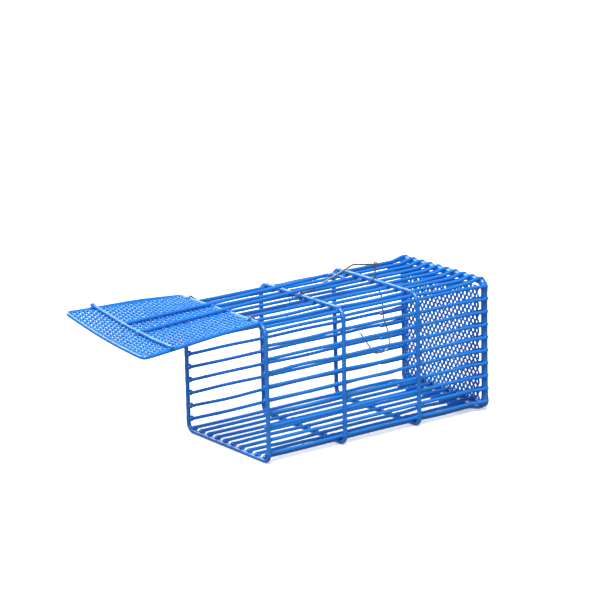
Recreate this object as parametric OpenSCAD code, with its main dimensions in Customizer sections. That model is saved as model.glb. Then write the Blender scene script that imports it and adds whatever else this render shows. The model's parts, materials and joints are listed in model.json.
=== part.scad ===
// Live catch trap: a wire cage with a spring door that a lever, a latch rod and a bait hook hold open.
// Millimetres. +X runs from the mouth to the rear, +Y to the left as seen from the mouth, +Z up.
// The origin is on the floor, under the middle of the object's box with the door open.

/* [Cage] */
// Width over the hoops
cage_w = 124; // [112:1:150]
// Height over the hoops
cage_h = 122; // [112:1:135]
// Front hoop to rear hoop, centre to centre
cage_l = 236; // [220:1:260]
// Distance between the three outer hoops
hoop_pitch = 80; // [74:1:84]
// Coated diameter of the hoop wire
hoop_d = 3.8; // [3:0.1:4.5]
// Bend radius at the corners of a hoop, on the wire's centre line
hoop_corner_r = 9; // [7:0.5:14]
// Coated diameter of the long wires
wire_d = 3; // [2.4:0.1:3.4]
// Share of a face between its corner and its first long wire
wire_margin = 0.055; // [0.05:0.005:0.07]
// Height of the left wall's wires above the right wall's
left_wall_rise = 3.8; // [0:0.1:4]
// Length of wire folded back inside after its turn round the rear hoop
wire_tail = 28; // [12:1:40]
// Depth that welded and coated wires sink into each other
weld = 0.3; // [0.1:0.05:0.5]

/* [Mesh] */
// Thickness of the plain sheet that holds the place of the expanded mesh
mesh_t = 0.8; // [0.6:0.1:1.5]
// Long pitch of the mesh's diamonds, along the door
mesh_long = 8; // [6:0.5:10]
// Length of one opening in the mesh
mesh_opening_l = 5.6; // [4:0.1:6]
// Width of one opening in the mesh
mesh_opening_w = 3.6; // [2.5:0.1:4.5]

/* [Door] */
// Hinge axis in front of the front hoop
hinge_ahead = 4.1; // [3.9:0.1:5]
// Hinge axis above the hoop's top bar
hinge_rise = 3; // [1.5:0.25:4]
// Width over the door's side wires
door_w = 120; // [108:1:122]
// Coated diameter of the door frame wire
door_wire_d = 3.2; // [2.8:0.1:3.4]
// Height of the shut door's lower edge above the floor
door_floor_gap = 7; // [5:0.5:12]
// Droop of the open door below the level
door_droop = 2.1; // [1.5:0.1:3]
// Place of the cross bar, as a share of the door's length from the hinge
cross_bar_at = 0.77; // [0.7:0.01:0.85]
// Distance from the hinge axis to the middle of each hinge ring, across the door
ring_y = 45.5; // [35:0.5:50]
// Diameter of the hinge ring wire
ring_wire_d = 1.4; // [1:0.1:1.6]

/* [Mechanism] */
// Distance between the lever's two arms
lever_w = 23; // [18:1:30]
// Hinge axis to the lever's closed end
lever_reach = 125.5; // [118:0.5:132]
// Diameter of the latch rod
rod_d = 1.7; // [1.4:0.1:2]
// Diameter of the bait hook wire
hook_d = 1.3; // [1:0.1:1.4]
// Outer diameter of the closing spring
spring_od = 6; // [5:0.5:7]
// Diameter of the spring wire
spring_wire_d = 1; // [0.8:0.1:1.2]
// Running clearance between moving wires
clearance = 0.3; // [0.25:0.05:0.4]

/* [Hidden] */
$fn = 24;
WIRES = 10;
FACES = ["roof", "floor", "left_wall", "right_wall"];
function two_digits(n) = str(n < 10 ? "0" : "", n);
function wire_name(face, n) = str(face, "_wire_", two_digits(n));

// How far a straight reaches into a bend, and how much thicker it is
joint_reach = 0.2;
joint_swell = 0.04;

coating = "dodgerblue";
steel = "gray";

// Hoops. The long wires lie inside the three outer hoops and round the rear one.
loop_w = cage_w - hoop_d;
loop_h = cage_h - hoop_d;
middle_z = cage_h / 2;
roof_z = cage_h - hoop_d / 2;
wire_inset = (hoop_d + wire_d) / 2 - weld;
turn_r = (hoop_d + wire_d) / 2 - 0.2;
top_wire_rise = min(left_wall_rise, 1.5);
climb_starts = 15;
climb_ends = 4;
climb_r = 8;
front_middle_x = hoop_pitch;
rear_middle_x = 2 * hoop_pitch;

// Door. Its own plane holds the hinge axis, and -X runs from the hinge to the free edge.
hinge_x = -hinge_ahead;
hinge_z = roof_z + hinge_rise;
door_l = hinge_z - door_floor_gap - door_wire_d / 2;
door_span = door_w - door_wire_d;
door_corner_r = 5;
top_of_frame = (door_wire_d + wire_d) / 2 - weld;
knob_d = wire_d + 0.8;
lever_corner_r = 6;
function on_door(along, y, above) = [
    hinge_x - along * cos(door_droop) - above * sin(door_droop),
    y,
    hinge_z - along * sin(door_droop) + above * cos(door_droop)
];

// Rear-most and front-most points, which set the origin
rear_tip_x = cage_l + turn_r + wire_d / 2;
front_tip_x = on_door(door_l, 0, 0).x - door_wire_d / 2;
origin_x = (rear_tip_x + front_tip_x) / 2;

// Latch rod. It is a ring round the front middle hoop's top bar and runs over the lever's closed end.
rod_eye_r = hoop_d / 2 + clearance + rod_d / 2;
rod_leaves_at = 50;
lever_end = on_door(-lever_reach, 0, top_of_frame);
rod_over_lever = lever_end + [0, 0, (wire_d + rod_d) / 2 + clearance + 0.15];
rod_foot = [front_middle_x + 13, 0, roof_z + rod_eye_r + 0.6];
rod_slope = (rod_over_lever.z - rod_foot.z) / (rod_over_lever.x - rod_foot.x);
rod_knee_x = rear_middle_x - 23.7;
rod_knee = [rod_knee_x, 0, rod_foot.z + rod_slope * (rod_knee_x - rod_foot.x)];
rod_tip = [rear_middle_x + 4.5, 0, rod_knee.z - 4.3];
rod_foot_r = 12;
rod_knee_r = 9;

// Bait hook. It is a ring round the rear middle hoop's top bar, with a catch over the rod's tip.
hook_eye_r = hoop_d / 2 + clearance + hook_d / 2;
hook_leaves_at = 35;
hook_y = (rod_d + hook_d) / 2 + clearance;
catch_x = rear_middle_x + 1.5;
rod_at_catch = rod_knee.z + (rod_tip.z - rod_knee.z) * (catch_x - rod_knee.x) / (rod_tip.x - rod_knee.x);
catch_z = rod_at_catch + (rod_d + hook_d) / 2 + 2 * clearance;
catch_l = 3.4;
hook_bend_r = 10;
hook_tip_r = 7.5;
hook_knee_low = [rear_middle_x - 0.5, hook_y, 53];
hook_tip = [rear_middle_x - 15.1, hook_y, 74.3];

// Closing spring. It is a ring round the front middle hoop's top bar, beside the rod.
roof_wire_step = loop_w * (1 - 2 * wire_margin) / (WIRES - 1);
spring_y = roof_wire_step;
spring_eye_r = hoop_d / 2 + clearance + spring_wire_d / 2;
spring_anchor_at = 0.845;
spring_anchor_along = mesh_long * floor(door_l * spring_anchor_at / mesh_long);
spring_end_l = 12;
coil_rear = [front_middle_x - 10, spring_y - 0.6, roof_z - 10.2];
coil_front = on_door(spring_anchor_along - spring_end_l, 0.8, -9.2);
spring_wall = 0.6;

function unit(v) = v / norm(v);
function turn_at(a, b, c) = acos(min(1, max(-1, unit(b - a) * unit(c - b))));
// Length that a bend at point i takes from the straights on each side, none at the ends
function taken(points, radii, i) =
    i <= 0 || i >= len(points) - 1 ? 0
    : radii[i - 1] * tan(turn_at(points[i - 1], points[i], points[i + 1]) / 2);

module straight(a, b, d) {
    run = b - a;
    if (norm(run) > 0.005)
        translate(a)
            rotate([0, acos(run.z / norm(run)), atan2(run.y, run.x)])
                cylinder(h = norm(run), d = d);
}

// Part of a ring that joins the straights a-b and b-c with a bend of radius r
module bend(a, b, c, r, d) {
    u = unit(b - a);
    v = unit(c - b);
    w = unit(v - (v * u) * u);
    n = cross(u, w);
    turn = turn_at(a, b, c);
    centre = b - r * tan(turn / 2) * u + r * w;
    multmatrix([
        [-w.x, u.x, n.x, centre.x],
        [-w.y, u.y, n.y, centre.y],
        [-w.z, u.z, n.z, centre.z],
        [0, 0, 0, 1]
    ])
        rotate_extrude(angle = turn) translate([r, 0]) circle(d = d);
}

// A wire of diameter d through the points, with one bend radius for each point between its ends.
// Each straight is a hair thicker than the bends and reaches a little way into them, so that they join.
module bent_wire(points, radii, d) {
    last = len(points) - 1;
    for (i = [0:last - 1]) {
        a = points[i];
        b = points[i + 1];
        along = unit(b - a);
        from = taken(points, radii, i) - (i > 0 ? joint_reach : 0);
        to = taken(points, radii, i + 1) - (i + 1 < last ? joint_reach : 0);
        straight(a + from * along, b - to * along, d + joint_swell);
    }
    for (i = [1:last - 1])
        bend(points[i - 1], points[i], points[i + 1], radii[i - 1], d);
}

// Closed rectangle of wire in the XY plane, a by b on its centre line, with corners of radius r
module wire_loop(a, b, r, d) {
    for (side = [0, 1])
        mirror([0, side, 0]) {
            straight([-a / 2 + r, b / 2, 0], [a / 2 - r, b / 2, 0], d);
            for (end = [0, 1])
                mirror([end, 0, 0])
                    translate([a / 2 - r, b / 2 - r, 0])
                        rotate_extrude(angle = 90) translate([r, 0]) circle(d = d);
        }
    for (side = [-1, 1])
        straight([side * a / 2, -b / 2 + r, 0], [side * a / 2, b / 2 - r, 0], d);
}

// Ring of wire round an axis along Y
module ring_y(r, d) {
    rotate([90, 0, 0]) rotate_extrude() translate([r, 0]) circle(d = d);
}

// Hoop at x, nested inside the others by inset
module hoop(x, inset) {
    color(coating)
        translate([x, 0, middle_z])
            rotate([0, 90, 0])
                wire_loop(loop_h - 2 * inset, loop_w - 2 * inset, hoop_corner_r - inset, hoop_d);
}

// Rear panel, held by the folded tails of the long wires
module rear_mesh() {
    half_w = loop_w / 2 - wire_inset - turn_r - wire_d / 2 + weld;
    half_h = loop_h / 2 - wire_inset - turn_r - wire_d / 2 + weld;
    color(coating)
        translate([cage_l - hoop_d / 2 - mesh_t / 2 - 0.2, 0, middle_z])
            cube([mesh_t, 2 * half_w, 2 * half_h], center = true);
}

// Long wire number n of a face, in the face's own frame: +X to the rear, +Z out of the cage, across in Y.
// It climbs over the rear hoop's bar and turns round it. Corner wires stop after a quarter turn.
module long_wire(n, face_w, face_half) {
    across = face_w * (wire_margin - 0.5 + (1 - 2 * wire_margin) * (n - 1) / (WIRES - 1));
    corner = n == 1 || n == WIRES;
    out = turn_r;
    start = [-hoop_d / 2 + 0.4, across, 0];
    climb = [
        [cage_l - climb_starts, across, 0],
        [cage_l - climb_ends, across, out],
        [cage_l + out, across, out]
    ];
    folded = [[cage_l + out, across, -out], [cage_l - wire_tail, across, -out]];
    hooked = [[cage_l + out, across, -0.6]];
    color(coating)
        translate([0, 0, face_half - wire_inset])
            bent_wire(
                concat([start], climb, corner ? hooked : folded),
                concat([climb_r, climb_r, turn_r], corner ? [] : [turn_r]),
                wire_d
            );
}

module face_wire(face, n) {
    if (face == "roof")
        translate([0, 0, middle_z]) long_wire(n, loop_w, loop_h / 2);
    if (face == "floor")
        translate([0, 0, middle_z]) rotate([180, 0, 0]) long_wire(n, loop_w, loop_h / 2);
    if (face == "left_wall")
        translate([0, 0, middle_z + (n == 1 ? top_wire_rise : left_wall_rise)])
            rotate([-90, 0, 0]) long_wire(n, loop_h, loop_w / 2);
    if (face == "right_wall")
        translate([0, 0, middle_z]) rotate([90, 0, 0]) long_wire(n, loop_h, loop_w / 2);
}

// Long ring round the front hoop's top bar and the door's hinge wire
module hinge_ring(y) {
    r = hoop_d / 2 + ring_wire_d / 2 - 0.05;
    reach = norm([hinge_ahead, hinge_rise]);
    color(steel)
        translate([0, y, roof_z])
            rotate([0, -90 - atan2(hinge_ahead, hinge_rise), 0]) mirror([1, 0, 0])
                rotate([90, 0, 0]) {
                    rotate([0, 0, 90])
                        rotate_extrude(angle = 180) translate([r, 0]) circle(d = ring_wire_d);
                    translate([reach, 0, 0])
                        rotate([0, 0, -90])
                            rotate_extrude(angle = 180) translate([r, 0]) circle(d = ring_wire_d);
                    for (side = [-r, r])
                        straight([0, side, 0], [reach, side, 0], ring_wire_d);
                }
}

module in_door_plane() {
    translate([hinge_x, 0, hinge_z]) rotate([0, -door_droop, 0]) children();
}

module door_frame() {
    color(coating)
        in_door_plane()
            translate([-door_l / 2, 0, 0]) wire_loop(door_l, door_span, door_corner_r, door_wire_d);
}

// One diamond of the mesh, which the closing spring's end passes through
module mesh_opening_cut() {
    l = mesh_opening_l / 2;
    w = mesh_opening_w / 2;
    linear_extrude(2 * mesh_t, center = true) polygon([[l, 0], [0, w], [-l, 0], [0, -w]]);
}

module door_mesh() {
    near = door_wire_d / 2 - weld;
    half_w = door_span / 2 - near;
    notch = 5;
    color(coating)
        in_door_plane()
            difference() {
                translate([-door_l / 2, 0, 0])
                    cube([door_l - 2 * near, 2 * half_w, mesh_t], center = true);
                for (side = [-1, 1])
                    translate([0, side * ring_y, 0]) cube([2 * notch, notch, 2 * mesh_t], center = true);
                translate([-spring_anchor_along, 0, 0]) mesh_opening_cut();
            }
}

module door_cross_bar() {
    half = door_w / 2;
    color(coating)
        in_door_plane()
            translate([-door_l * cross_bar_at, 0, top_of_frame]) {
                straight([0, -half, 0], [0, half, 0], wire_d);
                for (side = [-1, 1])
                    translate([0, side * half, 0]) sphere(d = knob_d);
            }
}

module door_lever() {
    bar = -door_l * cross_bar_at + wire_d / 2 - weld;
    half = lever_w / 2;
    color(coating)
        in_door_plane()
            translate([0, 0, top_of_frame])
                bent_wire(
                    [[bar, half, 0], [lever_reach, half, 0], [lever_reach, -half, 0], [bar, -half, 0]],
                    [lever_corner_r, lever_corner_r],
                    wire_d
                );
}

// Wire rings at both ends, and the coil as a tube of its outer shape
module closing_spring() {
    axis = coil_front - coil_rear;
    lift = [0, 0, (spring_od - spring_wall) / 2];
    eye = [front_middle_x, spring_y, roof_z];
    color(steel) {
        translate(eye) ring_y(spring_eye_r, spring_wire_d);
        straight(eye - [0, 0, spring_eye_r], coil_rear + lift + unit(axis) * 0.5, spring_wire_d);
        difference() {
            straight(coil_rear, coil_front, spring_od);
            straight(coil_rear - unit(axis), coil_front + unit(axis), spring_od - 2 * spring_wall);
        }
        bent_wire(
            [
                coil_front + lift - unit(axis) * 0.5,
                on_door(spring_anchor_along, 0, -5),
                on_door(spring_anchor_along, 0, 4.5)
            ],
            [2],
            spring_wire_d
        );
    }
}

module latch_rod() {
    color(steel) {
        translate([front_middle_x, 0, roof_z]) ring_y(rod_eye_r, rod_d);
        bent_wire(
            [
                [front_middle_x, 0, roof_z] + rod_eye_r * [cos(rod_leaves_at), 0, sin(rod_leaves_at)],
                rod_foot,
                rod_knee,
                rod_tip
            ],
            [rod_foot_r, rod_knee_r],
            rod_d
        );
    }
}

module bait_hook() {
    eye = [rear_middle_x, hook_y, roof_z];
    beside = hook_eye_r * [cos(hook_leaves_at), 0, 0];
    above = hook_eye_r * [0, 0, sin(hook_leaves_at)];
    color(steel) {
        translate(eye) ring_y(hook_eye_r, hook_d);
        bent_wire(
            [
                eye + beside + above,
                [catch_x, hook_y, catch_z],
                [catch_x, -hook_y, catch_z],
                [catch_x, -hook_y, catch_z - catch_l]
            ],
            [hook_y, hook_y],
            hook_d
        );
        bent_wire(
            [
                eye + beside - above,
                [rear_middle_x + 8.5, hook_y, 104.5],
                [rear_middle_x + 10.5, hook_y, 83],
                [rear_middle_x + 16, hook_y, 69],
                [rear_middle_x + 16.5, hook_y, 53],
                hook_knee_low,
                hook_tip
            ],
            [hook_bend_r, hook_bend_r, hook_bend_r, hook_tip_r, hook_tip_r],
            hook_d
        );
    }
}

module placed() {
    translate([-origin_x, 0, 0]) children();
}

placed() hoop(0, 0);  // front_hoop
placed() hoop(front_middle_x, 0);  // front_middle_hoop
placed() hoop(rear_middle_x, 0);  // rear_middle_hoop
placed() hoop(cage_l, wire_inset);  // rear_hoop
placed() rear_mesh();
placed() hinge_ring(ring_y);  // hinge_ring_left
placed() hinge_ring(-ring_y);  // hinge_ring_right
placed() door_frame();
placed() door_mesh();
placed() door_cross_bar();
placed() door_lever();
placed() closing_spring();
placed() latch_rod();
placed() bait_hook();
for (face = FACES, n = [1:WIRES])
    placed() face_wire(face, n);
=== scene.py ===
"""Looks of a wire live catch trap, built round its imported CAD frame.

Lengths are metres. X runs from the mouth to the rear, Y to the left as seen from the mouth, Z up.
Each wire is a tube: a ring of points carried along a route of straights and arcs. Each expanded mesh
is a row of such tubes that wave to and fro and meet at their crests. Places come from the CAD nodes.
"""
import json
import logging
import math
from dataclasses import dataclass, field
from enum import Enum
from typing import Any, Mapping, Optional, Sequence, Union

import bpy
import numpy as np
from mathutils import Matrix, Vector


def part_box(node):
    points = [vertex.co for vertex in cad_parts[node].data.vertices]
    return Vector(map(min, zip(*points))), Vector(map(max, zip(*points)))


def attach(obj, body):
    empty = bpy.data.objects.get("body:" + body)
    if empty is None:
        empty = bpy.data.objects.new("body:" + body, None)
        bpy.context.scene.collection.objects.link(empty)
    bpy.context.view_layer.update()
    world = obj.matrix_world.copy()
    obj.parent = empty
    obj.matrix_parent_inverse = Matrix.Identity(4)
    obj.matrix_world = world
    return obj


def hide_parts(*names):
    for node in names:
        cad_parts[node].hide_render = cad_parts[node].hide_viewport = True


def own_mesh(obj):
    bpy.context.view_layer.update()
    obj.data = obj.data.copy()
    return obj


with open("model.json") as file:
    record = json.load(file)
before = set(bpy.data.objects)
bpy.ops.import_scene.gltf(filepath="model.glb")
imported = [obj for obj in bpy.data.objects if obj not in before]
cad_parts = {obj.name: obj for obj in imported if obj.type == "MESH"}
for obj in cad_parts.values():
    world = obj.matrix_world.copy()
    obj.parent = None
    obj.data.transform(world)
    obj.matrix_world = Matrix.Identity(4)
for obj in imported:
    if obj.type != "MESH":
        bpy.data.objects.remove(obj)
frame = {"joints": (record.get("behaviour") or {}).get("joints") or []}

LOG = logging.getLogger("live_catch_trap")
Array = np.ndarray
PLACE = "wire_place"
POOL = "pool"
X_AXIS, Y_AXIS, Z_AXIS = np.eye(3)
DOME_DEGREES = (68.0, 36.0)


# ---------------------------------------------------------------- shader values

class Value:
    """A number or colour inside one material. Arithmetic on it adds Math nodes."""

    def __init__(self, bench: "Bench", socket: bpy.types.NodeSocket) -> None:
        """Wrap one output socket of the bench's tree."""
        self.bench = bench
        self.socket = socket

    def _maths(self, operation: str, *terms: Union["Value", float], clamp: bool = False) -> "Value":
        """Add one Math node.

        Args:
            operation: the node's operation.
            terms: its inputs, in order.
            clamp: whether the result is held between 0 and 1.

        Returns:
            The node's result.
        """
        settings = {"operation": operation, "use_clamp": clamp}
        return self.bench.value("ShaderNodeMath", settings, dict(enumerate(terms)))

    def __add__(self, other: Union["Value", float]) -> "Value":
        """Sum."""
        return self._maths("ADD", self, other)

    def __radd__(self, other: float) -> "Value":
        """Sum with a number on the left."""
        return self._maths("ADD", other, self)

    def __sub__(self, other: Union["Value", float]) -> "Value":
        """Difference."""
        return self._maths("SUBTRACT", self, other)

    def __rsub__(self, other: float) -> "Value":
        """Difference from a number on the left."""
        return self._maths("SUBTRACT", other, self)

    def __mul__(self, other: Union["Value", float]) -> "Value":
        """Product."""
        return self._maths("MULTIPLY", self, other)

    def above(self, level: float, width: float) -> "Value":
        """0 below level, 1 above level + width, and a straight ramp between."""
        return self._maths("MULTIPLY_ADD", self, 1 / width, -level / width, clamp=True)


class Bench:
    """The node tree of one material."""

    def __init__(self, name: str) -> None:
        """Start an empty material.

        Args:
            name: the material's name.
        """
        self.material = bpy.data.materials.new(name)
        self.material.use_nodes = True
        self.tree = self.material.node_tree
        self.tree.nodes.clear()

    def node(self, kind: str, settings: Optional[Mapping[str, Any]] = None,
             inputs: Optional[Mapping[Any, Any]] = None) -> bpy.types.Node:
        """Add a node.

        Args:
            kind: the node's type.
            settings: its properties, set first.
            inputs: a value or a Value for each named or numbered socket.

        Returns:
            The node.
        """
        made = self.tree.nodes.new(kind)
        for key, setting in (settings or {}).items():
            setattr(made, key, setting)
        for key, given in (inputs or {}).items():
            if isinstance(given, Value):
                self.tree.links.new(given.socket, made.inputs[key])
            else:
                made.inputs[key].default_value = given
        return made

    def value(self, kind: str, settings: Optional[Mapping[str, Any]] = None,
              inputs: Optional[Mapping[Any, Any]] = None, output: Union[str, int] = 0) -> Value:
        """Add a node and return one of its outputs as a Value."""
        return Value(self, self.node(kind, settings, inputs).outputs[output])

    def noise(self, place: Value, scale: float, detail: float = 2.0) -> Value:
        """Cloudy values from 0 to 1 over a place, with about scale clouds to the metre."""
        return self.value("ShaderNodeTexNoise", {}, {"Vector": place, "Scale": scale, "Detail": detail})

    def object_place(self) -> Value:
        """The place in the object's own axes."""
        return self.value("ShaderNodeTexCoord", {}, {}, "Object")

    def carried(self, attribute: str, output: str) -> Value:
        """An attribute that the mesh carries."""
        return self.value("ShaderNodeAttribute", {"attribute_name": attribute}, {}, output)

    def stretched(self, place: Value, scale: Sequence[float]) -> Value:
        """A place with each of its axes scaled."""
        return self.value("ShaderNodeMapping", {}, {"Vector": place, "Scale": scale})

    def mixed(self, share: Value, first: Any, second: Any) -> Value:
        """A colour that goes from first to second as share goes from 0 to 1."""
        settings = {"data_type": "RGBA", "clamp_factor": True}
        return self.value("ShaderNodeMix", settings, {0: share, 6: first, 7: second}, 2)

    def finished(self, surface: Mapping[str, Any], height: Value, depth: float) -> bpy.types.Material:
        """Close the tree with a bumped Principled surface.

        Args:
            surface: the surface's inputs.
            height: relief from 0 to 1.
            depth: what a height of 1 stands for.

        Returns:
            The material.
        """
        relief = {"Strength": 1.0, "Distance": depth, "Height": height}
        bump = self.value("ShaderNodeBump", {}, relief, "Normal")
        shader = self.value("ShaderNodeBsdfPrincipled", {}, {**surface, "Normal": bump})
        self.node("ShaderNodeOutputMaterial", {}, {"Surface": shader})
        return self.material


def rgba(red: float, green: float, blue: float) -> tuple[float, float, float, float]:
    """A solid linear colour."""
    return (red, green, blue, 1.0)


@dataclass(frozen=True)
class DippedCoating:
    """Glossy plastic that wire gets by dipping: deeper where it pools, paler and duller where scuffed."""

    name: str
    body: tuple[float, float, float] = (0.003, 0.228, 0.77)
    deep: tuple[float, float, float] = (0.002, 0.148, 0.61)
    chalk: tuple[float, float, float] = (0.060, 0.38, 0.85)
    gloss: float = 0.24
    coat: float = 0.6
    coat_gloss: float = 0.14
    peel_depth: float = 0.00009
    cloud_scale: float = 38.0
    peel_scale: float = 620.0
    run_scale: tuple[float, float, float] = (70.0, 420.0, 420.0)
    scuff_scale: tuple[float, float, float] = (260.0, 900.0, 900.0)

    def material(self) -> bpy.types.Material:
        """Build the material.

        Colour is the body colour, mixed to the deep one by broad clouds and by the pool attribute, and to
        chalk in thin scuffs. Relief is a fine orange peel with slow runs along the wire.
        """
        bench = Bench(self.name)
        place = bench.object_place()
        along = bench.carried(PLACE, "Vector")
        pool = bench.carried(POOL, "Fac")
        clouds = bench.noise(place, self.cloud_scale)
        peel = bench.noise(place, self.peel_scale)
        runs = bench.noise(bench.stretched(along, self.run_scale), 1.0)
        scuffs = bench.noise(bench.stretched(along, self.scuff_scale), 1.0, 4.0).above(0.66, 0.08)
        depth = clouds.above(0.30, 0.45) * 0.55 + pool * 0.45
        colour = bench.mixed(depth, rgba(*self.body), rgba(*self.deep))
        colour = bench.mixed(scuffs * 0.35, colour, rgba(*self.chalk))
        roughness = self.gloss + clouds * 0.10 + scuffs * 0.16 - pool * 0.05
        surface = {
            "Base Color": colour,
            "Roughness": roughness,
            "IOR": 1.5,
            "Coat Weight": self.coat,
            "Coat Roughness": self.coat_gloss,
        }
        return bench.finished(surface, peel * 0.55 + runs * 0.45, self.peel_depth)


@dataclass(frozen=True)
class DrawnSteel:
    """Bare drawn wire: grey-brown metal with fine lines along it and darker oxide stains."""

    name: str
    bright: tuple[float, float, float] = (0.50, 0.47, 0.44)
    stain: tuple[float, float, float] = (0.13, 0.10, 0.078)
    polish: float = 0.30
    relief: float = 0.00004
    stain_scale: float = 130.0
    line_scale: tuple[float, float, float] = (120.0, 5200.0, 5200.0)

    def material(self) -> bpy.types.Material:
        """Build the material: stains by broad clouds, drawing lines by clouds stretched along the wire."""
        bench = Bench(self.name)
        place = bench.object_place()
        along = bench.carried(PLACE, "Vector")
        stains = bench.noise(place, self.stain_scale, 4.0).above(0.42, 0.26)
        lines = bench.noise(bench.stretched(along, self.line_scale), 1.0, 3.0)
        colour = bench.mixed(stains * 0.75 + lines * 0.25, rgba(*self.bright), rgba(*self.stain))
        surface = {
            "Base Color": colour,
            "Metallic": 1.0 - stains * 0.35,
            "Roughness": self.polish + lines * 0.14 + stains * 0.22,
        }
        return bench.finished(surface, lines * 0.7 + stains * 0.3, self.relief)


@dataclass(frozen=True)
class PaleFloor:
    """Matt white floor with the faintest mottling, lit a little from below as a light table is."""

    name: str = "pale_floor"
    dim: float = 0.90
    pale: float = 0.94
    glow: float = 0.44
    relief: float = 0.00004

    def material(self) -> bpy.types.Material:
        """Build the material."""
        bench = Bench(self.name)
        place = bench.object_place()
        clouds = bench.noise(place, 3.0)
        colour = bench.mixed(clouds, rgba(*[self.dim] * 3), rgba(*[self.pale] * 3))
        surface = {
            "Base Color": colour,
            "Roughness": 0.75,
            "Specular IOR Level": 0.2,
            "Emission Color": rgba(1.0, 1.0, 1.0),
            "Emission Strength": self.glow,
        }
        return bench.finished(surface, bench.noise(place, 60.0), self.relief)


class Slot(Enum):
    """The record's material slots."""

    COATED_WIRE = "coated_wire"
    COATED_MESH = "coated_mesh"
    STEEL_WIRE = "steel_wire"
    SPRING_STEEL = "spring_steel"


class Finishes:
    """One material for each slot, made once."""

    def __init__(self) -> None:
        """Build the materials."""
        looks = {
            Slot.COATED_WIRE: DippedCoating("dipped_blue_wire"),
            Slot.COATED_MESH: DippedCoating(
                "dipped_blue_mesh", body=(0.005, 0.262, 0.82), gloss=0.22, peel_depth=0.00006),
            Slot.STEEL_WIRE: DrawnSteel("drawn_steel_wire"),
            Slot.SPRING_STEEL: DrawnSteel("spring_steel_wire", bright=(0.42, 0.40, 0.38), polish=0.26),
        }
        self.by_slot = {slot: look.material() for slot, look in looks.items()}


# ---------------------------------------------------------------- surfaces

def placed(name: str, data: bpy.types.ID) -> bpy.types.Object:
    """Put data in the scene.

    Args:
        name: the object's name.
        data: what it shows.

    Returns:
        The new object.
    """
    made = bpy.data.objects.new(name, data)
    bpy.context.scene.collection.objects.link(made)
    return made


@dataclass
class Surface:
    """Points and faces, with the two attributes that the finishes read."""

    points: Array
    quads: Array
    triangles: Array
    place: Array
    pool: Array

    @staticmethod
    def joined(parts: Sequence["Surface"]) -> "Surface":
        """Several surfaces as one."""
        starts = np.cumsum([0] + [len(p.points) for p in parts[:-1]])
        return Surface(
            np.concatenate([p.points for p in parts]),
            np.concatenate([p.quads + start for p, start in zip(parts, starts)]),
            np.concatenate([p.triangles + start for p, start in zip(parts, starts)]),
            np.concatenate([p.place for p in parts]),
            np.concatenate([p.pool for p in parts]),
        )

    def piece(self, name: str, body: str, slot: Slot, finishes: Finishes,
              replaces: Sequence[str] = ()) -> bpy.types.Object:
        """Make the surface a Blender object that rides on a body.

        Args:
            name: the piece's name.
            body: the CAD body that it rides on.
            slot: the record's slot that it takes its finish from.
            finishes: the materials.
            replaces: the CAD nodes that it stands for.

        Returns:
            The object.
        """
        mesh = bpy.data.meshes.new(name)
        corners = np.concatenate([self.quads.ravel(), self.triangles.ravel()])
        starts = np.concatenate([
            np.arange(len(self.quads)) * 4,
            4 * len(self.quads) + np.arange(len(self.triangles)) * 3,
        ])
        mesh.vertices.add(len(self.points))
        mesh.vertices.foreach_set("co", self.points.astype(np.float32).ravel())
        mesh.loops.add(len(corners))
        mesh.loops.foreach_set("vertex_index", corners.astype(np.int32))
        mesh.polygons.add(len(starts))
        mesh.polygons.foreach_set("loop_start", starts.astype(np.int32))
        mesh.update(calc_edges=True)
        mesh.shade_smooth()
        place = mesh.attributes.new(PLACE, "FLOAT_VECTOR", "POINT")
        place.data.foreach_set("vector", self.place.astype(np.float32).ravel())
        pool = mesh.attributes.new(POOL, "FLOAT", "POINT")
        pool.data.foreach_set("value", self.pool.astype(np.float32))
        made = placed(name, mesh)
        mesh.materials.append(finishes.by_slot[slot])
        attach(made, body)
        if replaces:
            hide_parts(*replaces)
        LOG.info("%s: %d faces on %s", name, len(starts), body)
        return made


class Route:
    """A line through space that is read by its length."""

    def __init__(self, points: Array) -> None:
        """Measure the line.

        Args:
            points: the points that it goes through, one row each.
        """
        self.points = np.asarray(points, float)
        steps = np.linalg.norm(np.diff(self.points, axis=0), axis=1)
        self.marks = np.concatenate([[0.0], np.cumsum(steps)])

    @property
    def length(self) -> float:
        """The line's whole length."""
        return float(self.marks[-1])

    def at(self, along: Array) -> Array:
        """Points of the line at distances along it."""
        return np.stack([np.interp(along, self.marks, self.points[:, axis]) for axis in range(3)], axis=1)

    @staticmethod
    def bent(corners: Sequence[Sequence[float]], radii: Sequence[float], chords: int = 24) -> "Route":
        """Straights joined by arcs.

        At a corner between directions u and v that differ by an angle, the arc starts r tan(angle / 2)
        before the corner. Its centre lies r away from that start, towards w, the part of v that is square
        to u, and its points are centre - r cos(t) w + r sin(t) u.

        Args:
            corners: the points where the straights would meet, with the two ends.
            radii: a bend radius for each inner corner.
            chords: the number of chords in an arc.

        Returns:
            The route.
        """
        points = [np.asarray(c, float) for c in corners]
        stretches = [points[0][None]]
        for before, corner, after, radius in zip(points, points[1:], points[2:], radii):
            u = (corner - before) / np.linalg.norm(corner - before)
            v = (after - corner) / np.linalg.norm(after - corner)
            angle = math.acos(float(np.clip(u @ v, -1, 1)))
            if angle < 0.002:
                stretches.append(corner[None])
                continue
            w = (v - (v @ u) * u) / math.sin(angle)
            centre = corner - radius * math.tan(angle / 2) * u + radius * w
            t = np.linspace(0, angle, chords + 1)[:, None]
            stretches.append(centre - radius * np.cos(t) * w + radius * np.sin(t) * u)
        stretches.append(points[-1][None])
        return Route(np.concatenate(stretches))


def unit(vectors: Array) -> Array:
    """Vectors of length 1 in the same directions."""
    return vectors / np.linalg.norm(vectors, axis=-1, keepdims=True)


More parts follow.
